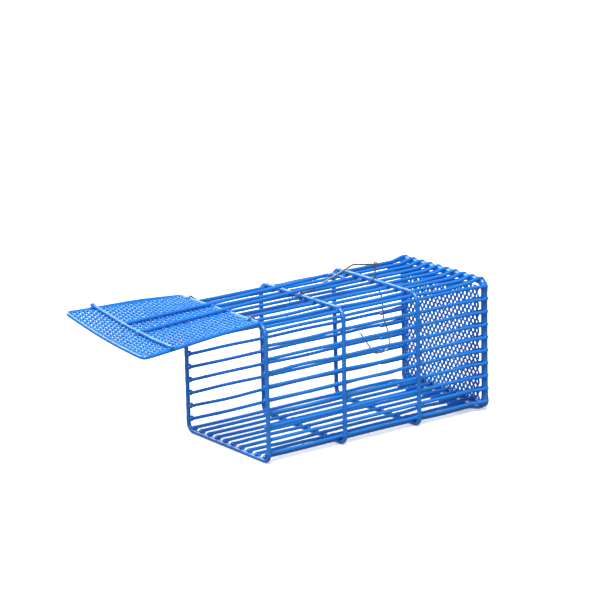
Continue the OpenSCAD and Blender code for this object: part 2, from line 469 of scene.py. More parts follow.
def hills(along: Array, tops: Sequence[float], reach: float) -> Array:
    """A bell of height 1 round each top, summed: exp(-((along - top) / reach)^2)."""
    return np.exp(-((along[:, None] - np.asarray(tops, float)[None, :]) / reach) ** 2).sum(axis=1)


def stations(length: float, step: float, tops: Sequence[float] = (), reach: float = 0.0,
             fine: float = 0.0) -> Array:
    """Distances along a route, at an even step, and finer round the tops.

    Args:
        length: the route's length.
        step: the even step.
        tops: distances that need a finer step.
        reach: how far the fine step goes on each side of a top.
        fine: the fine step.

    Returns:
        Rising distances from 0 to length.
    """
    even = np.linspace(0, length, max(2, int(math.ceil(length / step)) + 1))
    if not len(tops):
        return even
    offsets = np.arange(-reach, reach + fine / 2, fine)
    near = (np.asarray(tops, float)[:, None] + offsets[None, :]).ravel()
    near = near[(near > 0) & (near < length)]
    merged = np.unique(np.concatenate([even, near]))
    kept = np.concatenate([[True], np.diff(merged) > fine * 0.4])
    kept[-1] = True
    return merged[kept]


def tube(centre: Array, radius: Union[float, Array], side: Array, sides: int = 14, closed: bool = False,
         pool: Union[float, Array] = 0.0) -> Surface:
    """A ring of points carried along a line.

    A point is centre + radius (cos(a) n + sin(a) b). The tangent t runs to the next points, b is side
    without its part along t, and n = b x t, so that n, b and t are square to each other. Open ends are
    domed by rings of radius cos(e) set sin(e) further out, and closed by a pole.

    Args:
        centre: the line's points, one row each.
        radius: a number, one for each point, or one for each point and side.
        side: a direction that no tangent is parallel to, or one for each point.
        sides: the number of points in a ring.
        closed: whether the line's end joins its start.
        pool: how thick the coating lies, from 0 to 1, at each point of the line.

    Returns:
        The tube's surface, with its faces outwards.
    """
    count = len(centre)
    if closed:
        tangent = unit(np.roll(centre, -1, axis=0) - np.roll(centre, 1, axis=0))
    else:
        tangent = unit(np.gradient(centre, axis=0))
    along = Route(centre).marks
    side = np.broadcast_to(side, (count, 3))
    b = unit(side - (side * tangent).sum(axis=1, keepdims=True) * tangent)
    n = np.cross(b, tangent)
    radii = np.asarray(radius, float)
    radii = radii[:, None] if radii.ndim == 1 else radii
    radii = np.broadcast_to(radii, (count, sides)).copy()
    pools = np.broadcast_to(np.asarray(pool, float), (count,))
    if not closed:
        lift = np.radians(DOME_DEGREES)
        first, last = radii[:1], radii[-1:]
        start = centre[:1] - np.sin(lift)[:, None] * tangent[:1] * first.mean()
        end = centre[-1:] + np.sin(lift[::-1])[:, None] * tangent[-1:] * last.mean()
        centre = np.concatenate([start, centre, end])
        radii = np.concatenate([first * np.cos(lift)[:, None], radii, last * np.cos(lift[::-1])[:, None]])
        n = np.concatenate([n[[0, 0]], n, n[[-1, -1]]])
        b = np.concatenate([b[[0, 0]], b, b[[-1, -1]]])
        along = np.concatenate([along[[0, 0]], along, along[[-1, -1]]])
        pools = np.concatenate([pools[[0, 0]], pools, pools[[-1, -1]]])
    rings = len(centre)
    angle = np.linspace(0, 2 * np.pi, sides, endpoint=False)
    ring = np.cos(angle)[None, :, None] * n[:, None, :] + np.sin(angle)[None, :, None] * b[:, None, :]
    points = (centre[:, None, :] + radii[:, :, None] * ring).reshape(-1, 3)
    place = np.stack([
        np.broadcast_to(along[:, None], radii.shape),
        radii * np.cos(angle)[None, :],
        radii * np.sin(angle)[None, :],
    ], axis=-1).reshape(-1, 3)
    pools = np.repeat(pools, sides)
    here = np.arange(rings if closed else rings - 1)[:, None]
    there = (here + 1) % rings
    now = np.arange(sides)[None, :]
    then = (now + 1) % sides
    quads = np.stack([
        here * sides + now, here * sides + then, there * sides + then, there * sides + now,
    ], axis=-1).reshape(-1, 4)
    if closed:
        return Surface(points, quads, np.zeros((0, 3), int), place, pools)
    poles = np.stack([
        centre[0] - tangent[0] * first.mean() * (1 - math.sin(lift[0])),
        centre[-1] + tangent[-1] * last.mean() * (1 - math.sin(lift[0])),
    ])
    pole = len(points)
    rim = np.arange(sides)
    turn = (rim + 1) % sides
    top = (rings - 1) * sides
    fans = np.concatenate([
        np.stack([np.full(sides, pole), turn, rim], axis=1),
        np.stack([np.full(sides, pole + 1), top + rim, top + turn], axis=1),
    ])
    return Surface(
        np.concatenate([points, poles]),
        quads,
        fans,
        np.concatenate([place, [place[0] * [1, 0, 0], place[-1] * [1, 0, 0]]]),
        np.concatenate([pools, pools[[0, -1]]]),
    )


def fillet(centre: Array, u: Array, v: Array, w: Array, arm: float, height: float) -> Surface:
    """The web of coating in the four corners where two wires cross.

    Seen along w its outline is (|cos a|^p + |sin a|^p)^(-1/p) times the arm, with p under 1, which curves
    inwards between the wires. Its thickness along w is height times the sine of the latitude.

    Args:
        centre: the middle of the crossing.
        u: direction of one wire.
        v: direction of the other wire.
        w: direction square to both.
        arm: how far the web runs out along each wire.
        height: half its thickness.

    Returns:
        A closed surface of a few dozen faces.
    """
    power, around, web_latitude = 0.82, 12, 48.0
    a = np.linspace(0, 2 * np.pi, around, endpoint=False) + np.pi / around / 2
    reach = arm * (np.abs(np.cos(a)) ** power + np.abs(np.sin(a)) ** power) ** (-1 / power)
    latitude = np.radians([-web_latitude, 0.0, web_latitude])[:, None]
    flat = np.cos(latitude) * reach[None, :]
    points = (
        centre
        + (flat * np.cos(a))[:, :, None] * u
        + (flat * np.sin(a))[:, :, None] * v
        + (height * np.sin(latitude) * np.ones_like(flat))[:, :, None] * w
    ).reshape(-1, 3)
    points = np.concatenate([points, [centre - height * w, centre + height * w]])
    now = np.arange(around)
    then = (now + 1) % around
    row = np.stack([now, then, around + then, around + now], axis=1)
    quads = np.concatenate([row, row + around])
    low, high = 3 * around, 3 * around + 1
    fans = np.concatenate([
        np.stack([np.full(around, low), then, now], axis=1),
        np.stack([np.full(around, high), 2 * around + now, 2 * around + then], axis=1),
    ])
    if np.cross(u, v) @ w <= 0:
        quads, fans = quads[:, ::-1], fans[:, ::-1]
    return Surface(points, quads, fans, points - centre, np.full(len(points), 0.8))


class HandWork:
    """Seeded unevenness of hand bending and of dipping."""

    def __init__(self, seed: int) -> None:
        """Start the random numbers at a seed."""
        self.random = np.random.default_rng(seed)

    def bow(self, x: Array, held: Sequence[float], amount: float) -> Array:
        """Offset that is 0 where the wire is held and swings by about amount between.

        Between neighbours in held it is a random height times sin^2 of pi times the share of the gap.

        Args:
            x: places along the wire.
            held: rising places where the offset is 0.
            amount: spread of the random heights.

        Returns:
            One offset for each place.
        """
        held = np.asarray(held, float)
        heights = self.random.normal(0, amount, len(held) - 1)
        gap = np.clip(np.searchsorted(held, x) - 1, 0, len(held) - 2)
        share = np.clip((x - held[gap]) / (held[gap + 1] - held[gap]), 0, 1)
        return heights[gap] * np.sin(np.pi * share) ** 2

    def coat(self, along: Array, radius: float, sides: int, rough: float = 0.035) -> Array:
        """Uneven radius: the wire's own, times 1 plus the mean of three waves along and round it.

        Args:
            along: each ring's distance along the wire.
            radius: the wire's own radius.
            sides: the number of points in a ring.
            rough: the waves' height as a share of the radius.

        Returns:
            A radius for each ring and side.
        """
        angle = np.linspace(0, 2 * np.pi, sides, endpoint=False)[None, :]
        total = np.zeros((len(along), sides))
        for length in (0.007, 0.017, 0.043):
            phase, turn, twist = self.random.uniform(0, 2 * np.pi, 3)
            wave = np.sin(2 * np.pi * along[:, None] / length + phase)
            total += wave * np.cos(angle - turn + twist * wave) / 3
        return radius * (1 + rough * total)

    def beads(self, length: float, every: float) -> Array:
        """Random places of drips along a length, one to each stretch called every on average."""
        return self.random.uniform(0, length, self.random.poisson(length / every))


# ---------------------------------------------------------------- cage

class Face(Enum):
    """A face of the cage: its name, its outward direction and the direction across it."""

    ROOF = ("roof", (0, 0, 1), (0, 1, 0))
    FLOOR = ("floor", (0, 0, -1), (0, 1, 0))
    LEFT_WALL = ("left_wall", (0, 1, 0), (0, 0, 1))
    RIGHT_WALL = ("right_wall", (0, -1, 0), (0, 0, 1))

    @property
    def label(self) -> str:
        """The face's name in the CAD nodes."""
        return self.value[0]

    @property
    def out(self) -> Array:
        """Outward direction."""
        return np.array(self.value[1], float)

    @property
    def across(self) -> Array:
        """Direction across the long wires."""
        return np.array(self.value[2], float)


def box_of(node: str) -> tuple[Array, Array]:
    """A CAD node's lowest and highest corner."""
    low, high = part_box(node)
    return np.array(low), np.array(high)


def bar_radius(hoop: str) -> float:
    """Radius of a hoop's bar."""
    low, high = box_of(hoop)
    return float(high[0] - low[0]) / 2


def pivot_of(joint: str) -> Array:
    """Where a joint turns."""
    return np.array(next(j for j in frame["joints"] if j["name"] == joint)["pos_m"])


def loop_round(centre: Array, radius: float) -> Array:
    """Points of a circle that faces along Y: centre + radius (cos, 0, sin)."""
    turn = np.linspace(0, 2 * np.pi, 64, endpoint=False)
    return centre + radius * (np.cos(turn)[:, None] * X_AXIS + np.sin(turn)[:, None] * Z_AXIS)


@dataclass
class CageSizes:
    """Sizes of the cage that its pieces share, read from the CAD nodes."""

    wires_per_face: int = 10
    swell: float = 0.00004
    hoop_names: tuple[str, ...] = ("front_hoop", "front_middle_hoop", "rear_middle_hoop", "rear_hoop")
    hoop_x: dict[str, float] = field(default_factory=dict)
    hoop_r: float = 0.0
    half_w: float = 0.0
    low_z: float = 0.0
    high_z: float = 0.0
    wire_r: float = 0.0
    turn_r: float = 0.0

    def __post_init__(self) -> None:
        """Read the hoops and one long wire."""
        for name in self.hoop_names:
            low, high = box_of(name)
            self.hoop_x[name] = float(low[0] + high[0]) / 2
        low, high = box_of(self.hoop_names[0])
        self.hoop_r = bar_radius(self.hoop_names[0])
        self.half_w = float(high[1]) - self.hoop_r
        self.low_z = float(low[2]) + self.hoop_r
        self.high_z = float(high[2]) - self.hoop_r
        low, high = box_of(self.wire_name(Face.ROOF, 5))
        self.wire_r = float(high[1] - low[1] - self.swell) / 2
        self.turn_r = float(high[2] - low[2]) / 2 - self.wire_r

    @staticmethod
    def wire_name(face: Face, number: int) -> str:
        """Name of a long wire's CAD node."""
        return f"{face.label}_wire_{number:02d}"

    @property
    def middle(self) -> Array:
        """Middle of the hoops, at X 0."""
        return np.array([0.0, 0.0, (self.low_z + self.high_z) / 2])

    @property
    def outer_x(self) -> list[float]:
        """X of the three outer hoops."""
        return [self.hoop_x[name] for name in self.hoop_names[:3]]

    @property
    def rear_x(self) -> float:
        """X of the rear hoop."""
        return self.hoop_x[self.hoop_names[3]]

    def is_corner(self, number: int) -> bool:
        """Whether a long wire is the first or last on its face."""
        return number in (1, self.wires_per_face)

    def wire_depth(self, face: Face) -> float:
        """How far a face's long wires lie from the cage's middle, read from a middle wire's turn.

        Args:
            face: the face.

        Returns:
            The distance along the face's outward direction.
        """
        low, high = box_of(self.wire_name(face, 5))
        far = max(float((high - self.middle) @ face.out), float((low - self.middle) @ face.out))
        return far - self.turn_r - self.wire_r

    def wire_across(self, face: Face, number: int) -> float:
        """Place of a long wire across its face, from the cage's middle."""
        low, high = box_of(self.wire_name(face, number))
        return float(((low + high) / 2 - self.middle) @ face.across)


@dataclass
class LongWires:
    """The long coated wires. Each turns round the rear hoop and runs back inside, coated to itself."""

    sizes: CageSizes
    finishes: Finishes
    tail: float = 0.028
    climb_starts: float = 0.015
    climb_ends: float = 0.004
    climb_r: float = 0.008
    bow: float = 0.00045
    dip: float = 0.0003
    dip_reach: float = 0.0022
    drip: float = 0.00022
    drip_reach: float = 0.0011
    drip_gap: float = 0.11
    film: float = 0.00010
    film_starts: float = 0.012
    film_ramp: float = 0.004
    snug: float = 0.0006
    stub: float = 0.0004
    sides: int = 14
    seed: int = 11

    def build(self) -> None:
        """Make one piece for each long wire."""
        hand = HandWork(self.seed)
        for face in Face:
            for number in range(1, self.sizes.wires_per_face + 1):
                name = self.sizes.wire_name(face, number)
                piece = self.wire(face, number, hand)
                piece.piece(f"coated_{name}", "cage", Slot.COATED_WIRE, self.finishes, [name])

    def route(self, face: Face, number: int) -> Route:
        """A long wire's line, from the middle of its face.

        It is straight, climbs over the rear hoop's bar, turns half round it and runs back. Corner wires
        stop after a quarter turn.

        Args:
            face: the face that it lies on.
            number: its number on the face, from 1.

        Returns:
            The line.
        """
        sizes = self.sizes
        across = sizes.wire_across(face, number) * face.across
        low, _ = box_of(sizes.wire_name(face, number))
        rear, turn = sizes.rear_x, sizes.turn_r - self.snug

        def spot(x: float, out: float) -> Array:
            """A point of the wire's own plane."""
            return np.array([x, 0, 0]) + across + out * face.out

        corners = [
            spot(float(low[0]) + sizes.wire_r, 0),
            spot(rear - self.climb_starts, 0),
            spot(rear - self.climb_ends, turn),
            spot(rear + turn, turn),
        ]
        radii = [self.climb_r, self.climb_r, turn]
        if sizes.is_corner(number):
            corners.append(spot(rear + turn, self.stub))
        else:
            corners += [spot(rear + turn, -turn), spot(rear - self.tail, -turn * 0.98)]
            radii.append(turn)
        return Route.bent(corners, radii)

    def marks(self, length: float, bend: float, tops: Sequence[float], corner: bool) -> Array:
        """Distances along a long wire: fine at the tops and finest round the rear hoop.

        Args:
            length: the wire's length.
            bend: where its climb starts.
            tops: its crossings and drips.
            corner: whether it is a corner wire.

        Returns:
            Rising distances.
        """
        lead, finest = 0.001, 0.0005
        along = stations(length, 0.003, tops, 0.003, 0.0006)
        turning = np.arange(bend - lead, length if corner else length - self.tail + 0.004, finest)
        parts = [along[along < bend - lead], turning, along[along > turning[-1] + 0.0003]]
        return np.unique(np.round(np.concatenate(parts), 6))

    def wire(self, face: Face, number: int, hand: HandWork) -> Surface:
        """One long wire.

        Offsets that are 0 at every hoop bow it, and the coating swells where it crosses a hoop, along the
        tail by a film that comes in as 1 / (1 + exp(-distance / ramp)), and in a few drips.

        Args:
            face: the face that it lies on.
            number: its number on the face, from 1.
            hand: the random unevenness, shared by all the long wires.

        Returns:
            The wire's surface.
        """
        sizes = self.sizes
        route = self.route(face, number)
        start = route.points[0][0]
        crossings = [x - start for x in sizes.outer_x]
        drips = hand.beads(route.length, self.drip_gap)
        bend = sizes.rear_x - self.climb_starts - start
        along = self.marks(route.length, bend, list(crossings) + list(drips), sizes.is_corner(number))
        centre = route.at(along)
        held = sizes.outer_x + [sizes.rear_x - self.climb_starts, sizes.rear_x + 0.02]
        shift = hand.bow(centre[:, 0], held, self.bow)[:, None] * face.across
        shift = shift + hand.bow(centre[:, 0], held, self.bow * 0.8)[:, None] * face.out
        if face is Face.ROOF:
            shift = shift - np.abs((shift * face.out).sum(axis=1, keepdims=True)) * face.out
        shift = np.where((along < bend)[:, None], shift, 0)
        centre = sizes.middle + sizes.wire_depth(face) * face.out + centre + shift
        radius = hand.coat(along, sizes.wire_r, self.sides)
        swell = self.dip * hills(along, crossings, self.dip_reach)
        swell = swell + self.drip * hills(along, drips, self.drip_reach)
        joined = 1 / (1 + np.exp(-(along - (bend - self.film_starts)) / self.film_ramp))
        radius = radius + (swell + self.film * joined)[:, None]
        pool = np.clip(hills(along, crossings, 0.0025) + 0.5 * joined, 0, 1)
        return tube(centre, radius, face.across, self.sides, pool=pool)


@dataclass
class Hoops:
    """The four hoops, with the webs of coating that hold the long wires on the outer three."""

    sizes: CageSizes
    finishes: Finishes
    top_corner_r: float = 0.0095
    low_corner_r: float = 0.0068
    lean: float = 0.0005
    arm: float = 0.0038
    web: float = 0.0012
    flood: float = 0.0011
    swell: float = 0.00012
    swell_reach: float = 0.0024
    weld: float = 0.00016
    weld_at: float = 0.44
    weld_reach: float = 0.0035
    sides: int = 18
    seed: int = 23

    def build(self) -> None:
        """Make one piece for each hoop and one for the webs on each outer hoop."""
        hand = HandWork(self.seed)
        for name in self.sizes.hoop_names:
            self.hoop(name, hand).piece(f"coated_{name}", "cage", Slot.COATED_WIRE, self.finishes, [name])
        for name in self.sizes.hoop_names[:3]:
            self.webs(name).piece(f"{name}_fillets", "cage", Slot.COATED_WIRE, self.finishes)

    def hoop(self, name: str, hand: HandWork) -> Surface:
        """One hoop: a rectangle with round corners, bowed a little along X, swollen where wires cross it.

        The upright bars also pull in by a fraction of a millimetre half way up. The butt weld is a longer
        swelling on the top bar. Coating floods the rear hoop, between the turns of the long wires.

        Args:
            name: the hoop's CAD node.
            hand: the random unevenness, shared by all the hoops.

        Returns:
            The hoop's surface.
        """
        sizes = self.sizes
        low, high = box_of(name)
        half_w = float(high[1] - low[1]) / 2 - sizes.hoop_r
        z_low, z_high = float(low[2]) + sizes.hoop_r, float(high[2]) - sizes.hoop_r
        x = sizes.hoop_x[name]
        inset = sizes.half_w - half_w
        low_r, top_r = self.low_corner_r - inset, self.top_corner_r - inset
        start = np.array([x, 0, z_low])
        right, left = -half_w, half_w
        ring = [start, (x, left, z_low), (x, left, z_high), (x, right, z_high), (x, right, z_low), start]
        route = Route.bent(ring, [low_r, top_r, top_r, low_r])
        outer = inset < 1e-5
        tops = self.crossings(route, half_w, (z_high - z_low) / 2) if outer else []
        along = stations(route.length, 0.002, tops, 0.0024, 0.0008)[:-1]
        centre = route.at(along)
        height = (centre[:, 2] - z_low) / (z_high - z_low)
        width = centre[:, 1] / half_w
        tilt, twist, belly = hand.random.normal(0, self.lean, 3)
        lean = tilt * (height - 0.5) + twist * width * (height - 0.5)
        centre[:, 0] += lean + belly * (1 - width ** 2) * height
        upright = np.sin(np.pi * np.clip(height, 0, 1)) * (np.abs(width) > 0.9)
        centre[:, 1] -= np.sign(width) * upright * abs(hand.random.normal(0.0002, 0.0001))
        radius = hand.coat(along, sizes.hoop_r, self.sides, 0.022)
        swell = self.swell * hills(along, tops, self.swell_reach) if outer else 0 * along
        weld = self.weld * hills(along, [route.length * self.weld_at], self.weld_reach)
        radius = radius + np.minimum(swell + weld, 0.0002)[:, None]
        if not outer:
            wide, tall = (np.clip((np.abs(part) - 0.84) / 0.14, 0, 1) for part in (width, 2 * height - 1))
            radius = radius + self.flood * (1 + 0.7 * (wide * tall)[:, None])
            centre[:, 0] += self.flood * 0.8
        floor = centre[:, 2] < z_low + sizes.hoop_r * 0.5
        radius = np.where(floor[:, None] & outer, np.minimum(radius, sizes.hoop_r), radius)
        pool = np.clip(hills(along, tops, 0.003), 0, 1) if outer else 0.6 * np.ones_like(along)
        return tube(centre, radius, X_AXIS, self.sides, closed=True, pool=pool)

    def crossings(self, route: Route, half_w: float, half_h: float) -> list[float]:
        """Distances along a hoop's route of its points nearest to each long wire.

        Args:
            route: the hoop's line.
            half_w: half its width.
            half_h: half its height.

        Returns:
            One distance for each long wire.
        """
        sizes = self.sizes
        trial = np.linspace(0, route.length, 4000)
        spots = route.at(trial)[:, 1:]
        found = []
        for face in Face:
            for number in range(1, sizes.wires_per_face + 1):
                target = sizes.middle + sizes.wire_across(face, number) * face.across
                target = target + face.out * (half_w if face.out[1] else half_h)
                found.append(float(trial[np.argmin(np.linalg.norm(spots - target[1:], axis=1))]))
        return found

    def webs(self, name: str) -> Surface:
        """The webs of coating on an outer hoop, one at each long wire, between the two wires' centres.

        The long wires end at the front hoop, so its webs lie behind the hoop's front.

        Args:
            name: the hoop's CAD node.

        Returns:
            All its webs as one surface.
        """
        sizes = self.sizes
        ends_here = name == sizes.hoop_names[0]
        x = sizes.hoop_x[name] + (self.arm - sizes.hoop_r * 0.9 if ends_here else 0.0)
        parts = []
        for face in Face:
            depth = sizes.wire_depth(face) + sizes.wire_r * 0.9
            for number in range(1, sizes.wires_per_face + 1):
                centre = sizes.middle + np.array([x, 0, 0]) + depth * face.out
                centre = centre + sizes.wire_across(face, number) * face.across
                parts.append(fillet(centre, X_AXIS, face.across, face.out, self.arm, self.web))
        return Surface.joined(parts)


@dataclass(frozen=True)
class ExpandedMesh:
    """Expanded metal after dipping.

    Strand k runs along the long way of the diamonds. Its place across is k half pitches, plus or minus a
    quarter pitch times tanh(f cos(2 pi along / long pitch)) / tanh(f), with the sign changing from strand to
    strand, so that neighbours meet along every crest. The higher the flatness f, the longer the crests. The
    same wave tips the strand out of the sheet, as the slitting press leaves it.
    """

    long_pitch: float = 0.008
    short_pitch: float = 0.0052
    strand_w: float = 0.00096
    strand_t: float = 0.00084
    tip: float = 0.00018
    flat: float = 1.5
    drift: float = 0.00004
    overlap: float = 0.97
    sides: int = 8
    per_pitch: int = 14

    def strands(self, length: float, width: float, starts: Optional[Array] = None,
                seed: int = 5) -> list[tuple[Array, Array, Array, Array]]:
        """The strands as flat lines.

        Args:
            length: extent along the strands.
            width: extent across them.
            starts: where each strand starts, or none for 0.
            seed: start of the random numbers.

        Returns:
            For each strand its distances along, across and out of the sheet, and its radii.
        """
        hand = HandWork(seed)
        count = int(width / (self.short_pitch / 2))
        if starts is None:
            starts = np.zeros(count + 1)
        angle = np.linspace(0, 2 * np.pi, self.sides, endpoint=False)
        oval = 1 / np.sqrt((np.cos(angle) / self.strand_t) ** 2 + (np.sin(angle) / self.strand_w) ** 2)
        made = []
        for k in range(count + 1):
            sign = 1 if k % 2 else -1
            rings = max(4, int((length - starts[k]) / self.long_pitch * self.per_pitch))
            along = np.linspace(starts[k], length, rings)
            turn = 2 * np.pi * along / self.long_pitch
            wave = sign * np.tanh(self.flat * np.cos(turn)) / math.tanh(self.flat)
            drift = hand.bow(along, np.linspace(0, length, 7), self.drift)
            sway = wave * self.short_pitch / 4 * self.overlap
            across = (k - count / 2) * self.short_pitch / 2 + sway + drift
            across = np.clip(across, -width / 2, width / 2)
            out = wave * self.tip
            thick = 1 + 0.16 * wave ** 2 + 0.05 * np.sin(along * 900 + k)
            made.append((along, across, out, oval[None, :] * thick[:, None]))
        return made

    def pool(self, along: Array) -> Array:
        """How thick the coating lies along a strand: 0.6 |cos|^3 of its wave, so most where strands meet."""
        return np.abs(np.cos(2 * np.pi * along / self.long_pitch)) ** 3 * 0.6


@dataclass
class RearPanel:
    """The expanded mesh that closes the rear of the cage."""

    finishes: Finishes
    mesh: ExpandedMesh = ExpandedMesh(long_pitch=0.0078, short_pitch=0.0055, tip=0.00008)

    def build(self) -> None:
        """Make the panel, with its strands upright."""
        low, high = box_of("rear_mesh")
        middle = (low + high) / 2
        length, width = float(high[2] - low[2]), float(high[1] - low[1])
        parts = []
        for along, across, out, radius in self.mesh.strands(length, width, seed=31):
            centre = np.stack([middle[0] + out, middle[1] + across, low[2] + along], axis=1)
            parts.append(tube(centre, radius, Y_AXIS, self.mesh.sides, pool=self.mesh.pool(along)))
        panel = Surface.joined(parts)
        panel.piece("rear_expanded_mesh", "cage", Slot.COATED_MESH, self.finishes, ["rear_mesh"])


@dataclass
class HingeRings:
    """The two steel rings that hold the door's hinge wire on the front hoop."""

    finishes: Finishes
    wire_r: float = 0.0007
    end: tuple[tuple[float, float, float], ...] = (
        (0, 0, 0), (0.0012, 0.0012, 0.0006), (0.0016, 0.0030, 0.0022))
    names: tuple[str, ...] = ("hinge_ring_left", "hinge_ring_right")

    def build(self) -> None:
        """Make each ring: a wire that goes one turn and a bit round both bars, with its end bent up."""
        hinge, hoop_r = pivot_of("door_hinge"), bar_radius("front_hoop")
        hoop_low, hoop_high = box_of("front_hoop")
        bar = np.array([float(hoop_low[0]) + hoop_r, 0, float(hoop_high[2]) - hoop_r])
        r = hoop_r + self.wire_r - 0.00005
        for name in self.names:
            low, high = box_of(name)
            y = float(low[1] + high[1]) / 2
            reach = unit((bar - hinge)[None])[0]
            square = np.cross(Y_AXIS, reach)
            turn = np.radians(np.arange(-90, 91, 9))
            near = hinge - r * np.cos(turn)[:, None] * reach + r * np.sin(turn)[:, None] * square
            far = bar + r * np.cos(turn)[:, None] * reach - r * np.sin(turn)[:, None] * square
            loop = np.concatenate([near, far])
            route = Route(np.concatenate([loop, loop[:1]]))
            along = stations(route.length, 0.0005)[:-1]
            centre = route.at(along)
            centre[:, 1] = y + 0.0001 * np.sin(2 * np.pi * along / route.length)
            ring = tube(centre, self.wire_r, Y_AXIS, 10, closed=True)
            root = bar + r * square * 0.9
            end = Route.bent([root + np.array([dx, y + dy, dz]) for dx, dy, dz in self.end], [0.001])
            stub = tube(end.at(stations(end.length, 0.0004)), self.wire_r * 0.95, X_AXIS, 10)
            both = Surface.joined([ring, stub])
            both.piece(f"{name}_wire", "cage", Slot.STEEL_WIRE, self.finishes, [name])


# ---------------------------------------------------------------- door

@dataclass
class DoorPlane:
    """The door's own plane, and the twist that its loose wires have taken.

    A place is given by its distance from the hinge, its Y and its height above the plane. The twist lifts
    the left side and drops the right side, more towards the free edge.
    """

    lift: float = 0.0095
    drop: float = 0.0045
    curve: float = 0.4
    hinge: Array = field(default_factory=lambda: np.zeros(3))
    wire_r: float = 0.0
    length: float = 0.0
    half_span: float = 0.0
    droop: float = 0.0

    def __post_init__(self) -> None:
        """Read the plane from the hinge and the door frame's box."""
        self.hinge = pivot_of("door_hinge")
        low, high = box_of("door_frame")
        self.wire_r = float(high[0] - self.hinge[0])
        reach = float(self.hinge[0] - self.wire_r - low[0])
        sink = float(self.hinge[2] - self.wire_r - low[2])
        self.length = math.hypot(reach, sink)
        self.droop = math.atan2(sink, reach)
        self.half_span = float(high[1]) - self.wire_r

    def twist(self, along: Array, y: Array) -> Array:
        """Height that the twist adds.

        With u the share of the length and v the share of the half width, it is
        v (a + b) / 2 + v^2 (a - b) / 2, where a = lift (1 - exp(-c u)) / (1 - exp(-c)) is the left edge,
        c is the curve and b = drop u is the right edge.

        Args:
            along: distances from the hinge.
            y: places across the door.

        Returns:
            One height for each place.
        """
        u = np.clip(along / self.length, 0, 1.02)
        v = y / self.half_span
        left = self.lift * (1 - np.exp(-self.curve * u)) / (1 - math.exp(-self.curve))
        right = self.drop * u
        return v * (left + right) / 2 + v ** 2 * (left - right) / 2

    @property
    def up(self) -> Array:
        """Direction away from the plane."""
        return self.spot(0, 0, 1, 0) - self.spot(0, 0, 0, 0)

    def spot(self, along: Array, y: Array, above: Array, twisted: float = 1.0) -> Array:
        """Points of the door in the row frame.

        Args:
            along: distances from the hinge.
            y: places across the door.
            above: heights above the plane.
            twisted: share of the twist that is added.

        Returns:
            One point for each place.
        """
        along, y, above = np.broadcast_arrays(np.asarray(along, float), y, above)
        above = above + twisted * self.twist(along, y)
        c, s = math.cos(self.droop), math.sin(self.droop)
        return np.stack([
            self.hinge[0] - along * c - above * s,
            np.asarray(y, float),
            self.hinge[2] - along * s + above * c,
        ], axis=-1)


